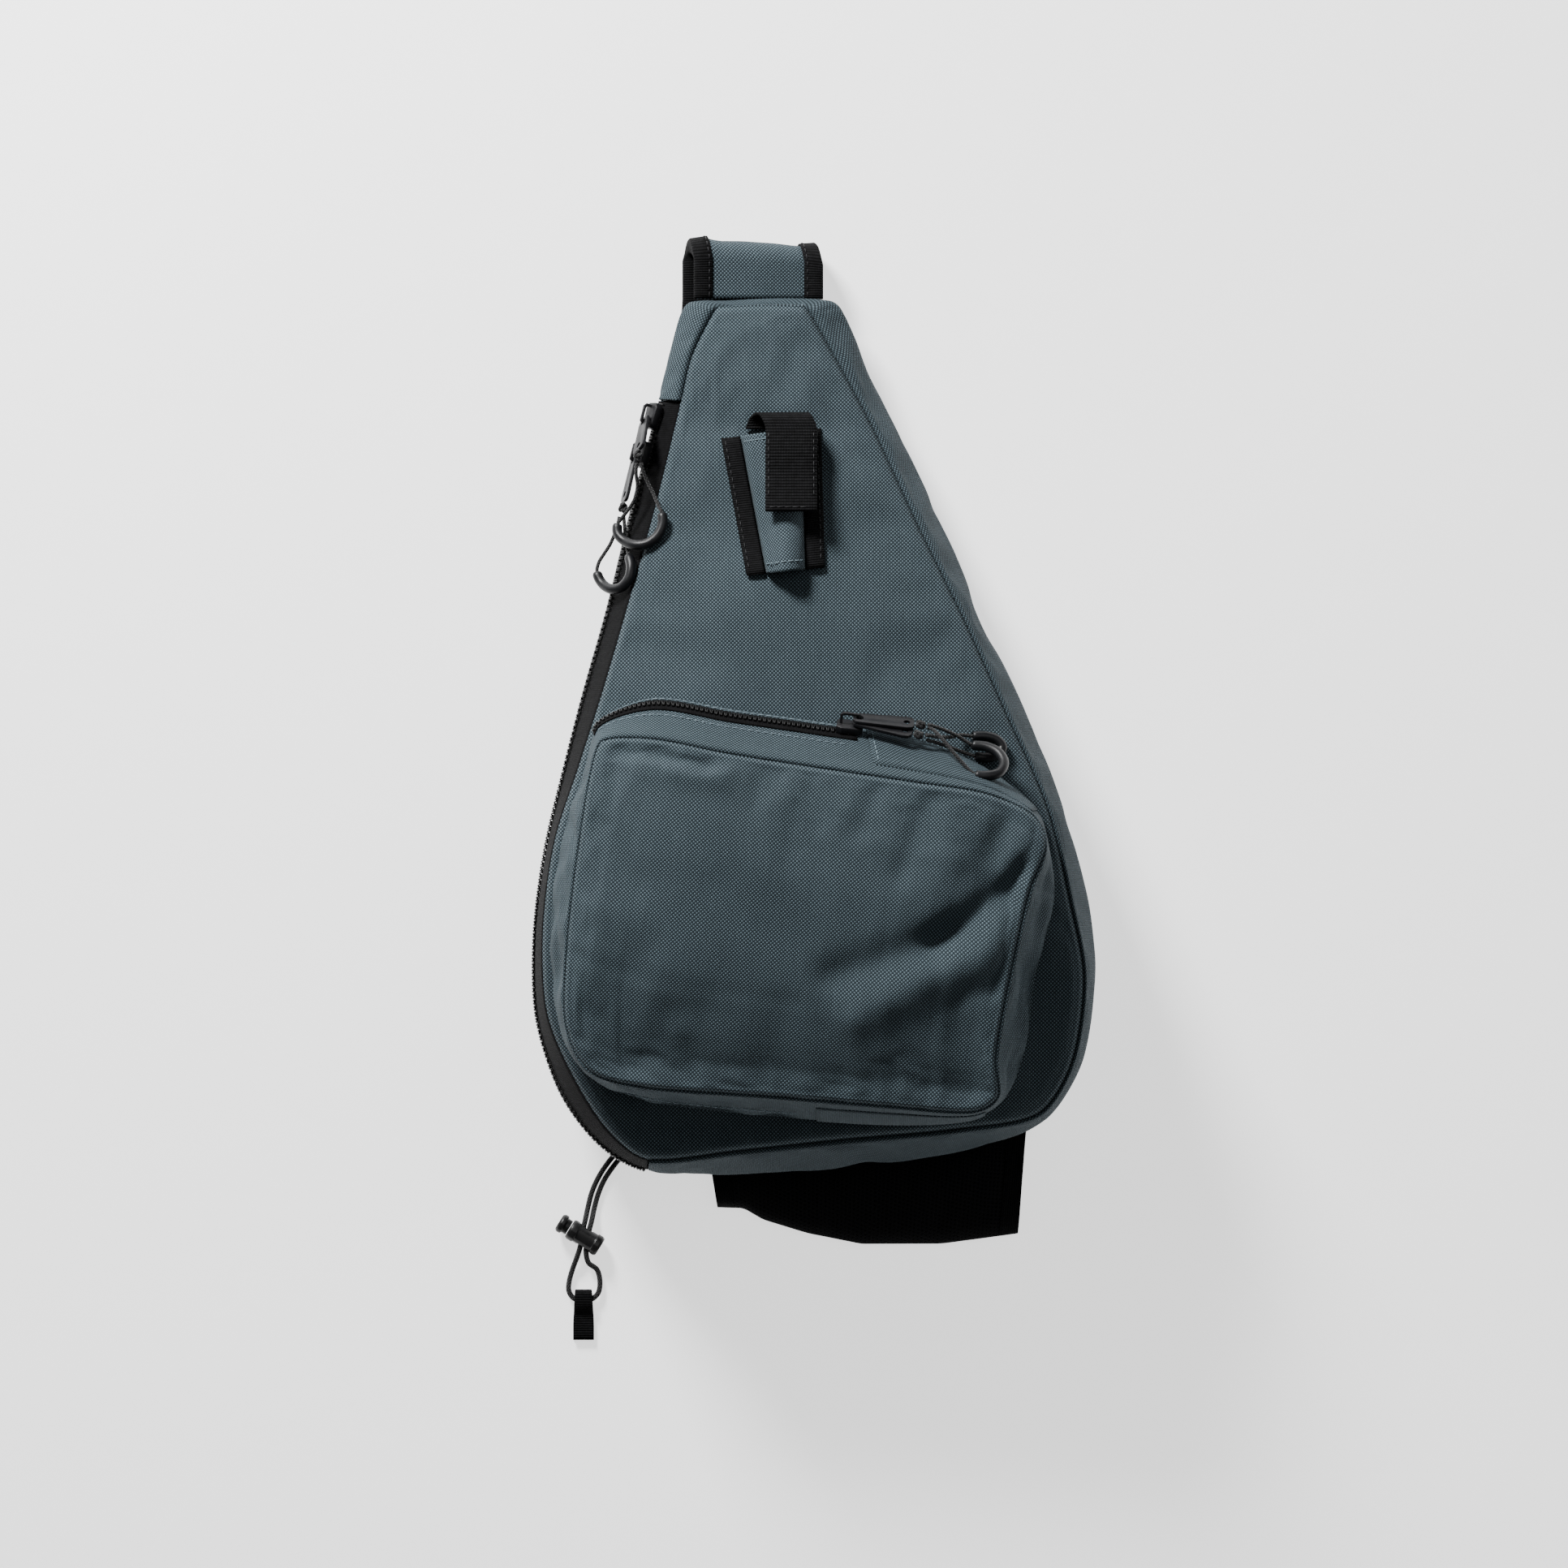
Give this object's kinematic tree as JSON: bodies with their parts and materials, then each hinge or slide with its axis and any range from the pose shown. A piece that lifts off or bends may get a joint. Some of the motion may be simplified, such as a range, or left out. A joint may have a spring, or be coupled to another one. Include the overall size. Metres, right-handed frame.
{
  "type": "fishing tackle sling bag",
  "caption": "Tear-drop sling bag of woven cloth with a zipped main body, a front pocket, a tool holster, a padded shoulder strap and a mesh sleeve.",
  "frame": {"origin": "middle of the bounding box at its base, on the surface that the bag lies on", "axes": "+Z out of the front panel, +Y towards the shoulder strap's top end, -X towards the main zip"},
  "size_m": [0.2789, 0.5536, 0.1274],
  "materials": {
    "pack_cloth": "woven, slight sheen",
    "black_webbing": "ribbed webbing",
    "zip_tape": "woven tape and coil",
    "black_mesh": "air mesh",
    "hard_plastic": "satin",
    "dark_metal": "satin black",
    "cord": "braided cord",
    "grip_rubber": "satin rubber"
  },
  "bodies": {
    "root": {"front_panel": "pack_cloth", "back_panel": "pack_cloth", "side_gusset": "pack_cloth", "zip_gusset": "pack_cloth", "pocket_gusset": "pack_cloth", "pocket_front": "pack_cloth", "holster_sleeve": "pack_cloth", "shoulder_strap": "pack_cloth", "holster_binding_left": "black_webbing", "holster_binding_right": "black_webbing", "holster_flap": "black_webbing", "strap_binding_left": "black_webbing", "strap_binding_right": "black_webbing", "strap_webbing": "black_webbing", "sleeve_hem_left": "black_webbing", "sleeve_hem_right": "black_webbing", "cord_tab": "black_webbing", "main_zip": "zip_tape", "pocket_zip": "zip_tape", "mesh_sleeve": "black_mesh", "strap_lining": "black_mesh", "strap_adjuster": "hard_plastic", "cord_lock_barrel": "hard_plastic", "cord_lock_button": "hard_plastic", "main_slider_upper": "dark_metal", "main_slider_lower": "dark_metal", "main_pull_upper": "dark_metal", "main_pull_lower": "dark_metal", "pocket_slider": "dark_metal", "pocket_pull_lower": "dark_metal", "pocket_pull_upper": "dark_metal", "drawcord": "cord", "main_pull_cord_upper": "cord", "main_pull_cord_lower": "cord", "pocket_pull_cord_upper": "cord", "pocket_pull_cord_lower": "cord", "main_pull_knot_upper": "cord", "main_pull_knot_lower": "cord", "pocket_pull_knot_lower": "cord", "pocket_pull_knot_upper": "cord", "main_pull_grip_upper": "grip_rubber", "main_pull_grip_lower": "grip_rubber", "pocket_pull_grip_upper": "grip_rubber", "pocket_pull_grip_lower": "grip_rubber"}
  },
  "joints": []
}
